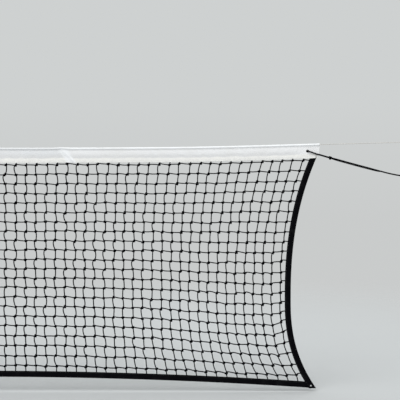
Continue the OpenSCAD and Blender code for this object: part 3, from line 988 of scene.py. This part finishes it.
def make_knots(knots, slash, finish):
    """Every crossing is a drawn-up knot: slanting and lying flat in turn."""
    rings, sides = 24, 6
    tube, lay = knot_tube(rings, sides, np.array([6.2, 2.8, 4.1]) * MM, 2.7 * MM)
    local = tube.reshape(-1, 3)
    faces = grid_faces(rings, sides, wrap_rows=True)
    centres, slanting = knots.reshape(-1, 3), slash.reshape(-1)
    tilt = np.radians(np.where(slanting, 50, 12) + chance.normal(0, 9, len(centres)))
    roll = np.radians(chance.uniform(-40, 40, len(centres)))
    size = np.where(slanting, 1.06, 1.0) * chance.uniform(0.92, 1.08, len(centres))
    pieces = []
    for part, chosen in enumerate(np.array_split(np.arange(len(centres)), 3)):
        a, b = tilt[chosen, None], roll[chosen, None]
        x, y, z = local.T
        rolled_y, rolled_z = y * np.cos(b) - z * np.sin(b), y * np.sin(b) + z * np.cos(b)
        turned = xyz(x * np.cos(a) - rolled_z * np.sin(a), rolled_y, x * np.sin(a) + rolled_z * np.cos(a))
        points = centres[chosen, None] + turned * size[chosen, None, None]
        pieces.append(build(
            f"netting_knots_{part + 1}", points.reshape(-1, 3),
            repeated(faces, len(chosen), rings * sides), finish, "netting",
            lay=np.tile(lay.reshape(-1, 3), (len(chosen), 1))))
    return pieces


def fold_section(width):
    """A tape's middle line folded in two, (in from the fold, across), and its lap from the fold."""
    r = TAPE_HALF - TAPE_CLOTH / 2
    turn = np.radians(np.linspace(-90, 90, 9))
    flat = np.linspace(width, r + TAPE_CLOTH / 2, 9)
    inwards = np.concatenate([flat, r + TAPE_CLOTH / 2 - r * np.cos(turn)[1:-1], flat[::-1]])
    across = np.concatenate([np.full(9, -r), r * np.sin(turn)[1:-1], np.full(9, r)])
    steps = np.hypot(np.diff(inwards), np.diff(across)).cumsum()
    lap = np.concatenate([[0], steps])
    return inwards, across, lap - lap[-1] / 2


def tape_body(middle, run, lap, name, node, side, finish):
    points, faces, cloth = strip(middle, TAPE_CLOTH, run, lap)
    points, faces = on_side(side, points, faces)
    piece = build(name, points, faces, finish, "tape", cloth=cloth)
    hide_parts(node)
    return piece


def cut_level(s, inwards):
    """How far down the side each thread of the tape is moved, so that both ends are cut level."""
    moved = np.zeros(np.broadcast_shapes(s.shape, inwards.shape))
    for _ in range(6):
        _, z = side_point(s + moved, inwards)
        moved = moved + z - (TAPE_TOP - s)
    return moved


def make_side_tapes(finish, stitch_finish):
    inwards, across, lap = fold_section(TAPE_W)
    up_into_band = 7 * MM
    s = np.linspace(-up_into_band, CORNER_DROP, 321)[:, None]
    slack = 0.35 * MM * uneven(s, 0.07, 0.9) * (np.abs(inwards) > 3 * MM)
    x, z = side_point(s + cut_level(s, inwards), inwards)
    middle = xyz(x, across + slack, z)
    stitch_s = stitch_places(4 * MM, CORNER_DROP - 6 * MM)
    stitch_x, stitch_z = side_point(stitch_s, TAPE_SEAM)
    stitch_y = 0.35 * MM * uneven(stitch_s, 0.07, 0.9)
    for word, side in SIDES.items():
        tape = tape_body(middle, s, lap, f"{word}_tape_cloth", f"{word}_side_tape", side, finish)
        pierce(tape, [(LOWER_EYELET[0] * side, 0, LOWER_EYELET[2])])
        bend_at_seam(tape)
        lines = [(xyz(stitch_x * side, face * TAPE_HALF + stitch_y, stitch_z), face) for face in (-1, 1)]
        stitched(f"{word}_tape_stitches", lines, stitch_finish, "black_thread", "netting",
                 f"{word}_tape_stitching")


def make_bottom_tape(finish, stitch_finish):
    inwards, across, lap = fold_section(TAPE_W)
    end_x, _ = side_point(CORNER_DROP - 14 * MM, TAPE_W - 1 * MM)
    x = np.linspace(float(end_x), -float(end_x), 601)[:, None]
    slope = -2 * BOTTOM_ARCH * x / CORNER_X**2
    size = np.sqrt(1 + slope**2)
    slack = 0.4 * MM * uneven(x, 0.09, 0.2) * (inwards > 3 * MM)
    middle = xyz(x - inwards * slope / size, across + slack, bottom_z(x) + inwards / size)
    tape = tape_body(middle, end_x - x, lap, "bottom_tape_cloth", "bottom_tape", 1, finish)
    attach(tape, "netting")
    stitch_x = stitch_places(-float(end_x) + 4 * MM, float(end_x) - 4 * MM)
    y = 0.4 * MM * uneven(stitch_x, 0.09, 0.2)
    z = bottom_z(stitch_x) + TAPE_SEAM
    lines = [(xyz(stitch_x, face * TAPE_HALF + y, z), face) for face in (-1, 1)]
    stitched("bottom_tape_stitches", lines, stitch_finish, "black_thread", "netting", "bottom_tape_stitching")


# ---------------------------------------------------------------- eyelets


def eyelet_profile(half):
    """A flanged barrel through cloth of twice that half thickness, rolled over at the back."""
    return np.array([
        [3.2, 1.6 - half], [3.2, half + 0.4], [3.3, half + 1.0], [3.6, half + 1.3], [4.0, half + 1.4],
        [4.4, half + 1.3], [4.7, half + 1.05], [4.6, half + 0.82], [3.85, half + 0.8], [3.8, half + 0.5],
        [3.8, 0.3 - half], [3.9, -half], [6.05, -half], [6.2, -half - 0.2], [6.1, -half - 0.5],
        [5.8, -half - 0.72], [5.2, -half - 0.8], [4.2, -half - 0.8], [3.7, -half - 0.7],
        [3.35, -half - 0.3], [3.22, 0.4 - half]])


def washer_profile(half):
    return np.array([
        [3.85, half + 0.1], [3.85, half + 0.7], [4.0, half + 0.8], [5.8, half + 0.8],
        [6.1, half + 0.65], [6.2, half + 0.4], [6.1, half + 0.15], [5.9, half], [4.0, half]])


def make_eyelets(finish):
    for level, place, half, body in (
        ("upper", UPPER_EYELET, WEB_HALF, "headband"),
        ("lower", LOWER_EYELET, TAPE_HALF, "netting"),
    ):
        for word, side in SIDES.items():
            centre = [place[0] * side, 0, place[2]]
            for part, profile in (("eyelet", eyelet_profile), ("washer", washer_profile)):
                points, faces = lathe(profile(half / MM) * MM, centre)
                ring = build(f"{level}_{word}_rolled_{part}", points, faces, finish, "eyelet")
                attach(ring, body)
                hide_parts(f"{level}_{word}_{part}")


# ---------------------------------------------------------------- the whole net

place_camera()
light_studio()
lay_floor()

straw_cord = braided("straw_cord", (0.58, 0.56, 0.53), (0.80, 0.78, 0.75), 6, 7 * MM, 0.15 * MM, 0.7)
black_cord = braided("black_cord", (0.003, 0.003, 0.004), (0.012, 0.012, 0.013), 8, 8 * MM, 0.25 * MM,
                     0.65, Specular_IOR_Level=0.0)
make_headline(straw_cord, plated("crimp_metal", (0.72, 0.73, 0.74), (0.58, 0.59, 0.60), 0.35),
              plated("zinc_plating", (0.66, 0.67, 0.68), (0.50, 0.51, 0.53), 0.38))
make_ties(black_cord)

white_thread = thread("white_thread", (0.68, 0.69, 0.71), (0.86, 0.87, 0.88))
black_thread = thread("black_thread", (0.010, 0.010, 0.011), (0.030, 0.030, 0.032))
make_headband(headband_cloth())
make_band_stitching(white_thread)
make_netting(twine(), knot_twine())
tape_finish = tape_cloth()
make_side_tapes(tape_finish, black_thread)
make_bottom_tape(tape_finish, black_thread)
make_eyelets(plated("black_plating", (0.035, 0.035, 0.038), (0.07, 0.07, 0.073), 0.45))
